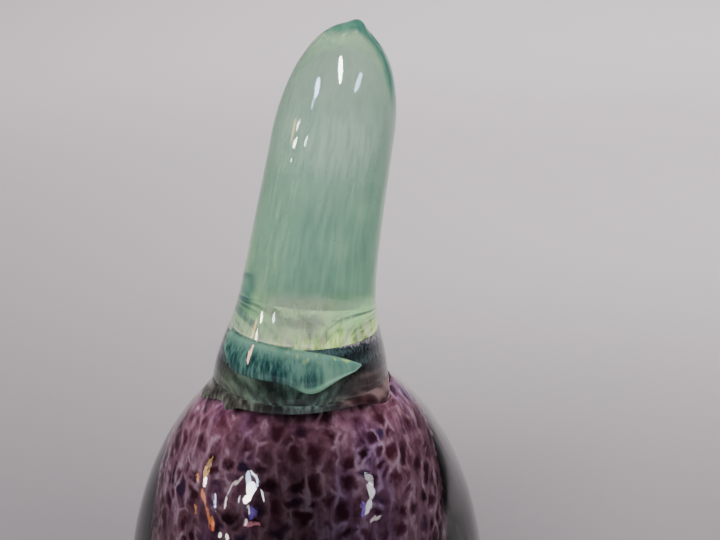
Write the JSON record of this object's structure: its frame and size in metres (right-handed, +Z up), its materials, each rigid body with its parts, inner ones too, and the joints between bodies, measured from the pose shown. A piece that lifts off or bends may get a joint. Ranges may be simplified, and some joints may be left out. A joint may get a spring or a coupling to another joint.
{
  "type": "art glass eggplant",
  "caption": "Solid cased glass eggplant ornament that stands on a ground flat base, with a mottled purple body, a calyx and a leaning green glass stem.",
  "frame": {"origin": "centre of the ground flat that the body stands on", "axes": "+Z up through the middle of the body, +X the way the stem leans, -Y the side with the lap of the stem's root"},
  "size_m": [0.088, 0.088, 0.2019],
  "materials": {
    "clear_heart": "gloss",
    "frit_coat": "gloss",
    "clear_casing": "gloss",
    "calyx": "gloss",
    "clear_foot": "gloss",
    "stem": "gloss",
    "stem_lap": "gloss"
  },
  "bodies": {
    "root": {"clear_heart": "clear_heart", "frit_coat": "frit_coat", "clear_casing": "clear_casing", "calyx": "calyx", "clear_foot": "clear_foot", "stem": "stem", "stem_lap": "stem_lap"}
  },
  "joints": []
}
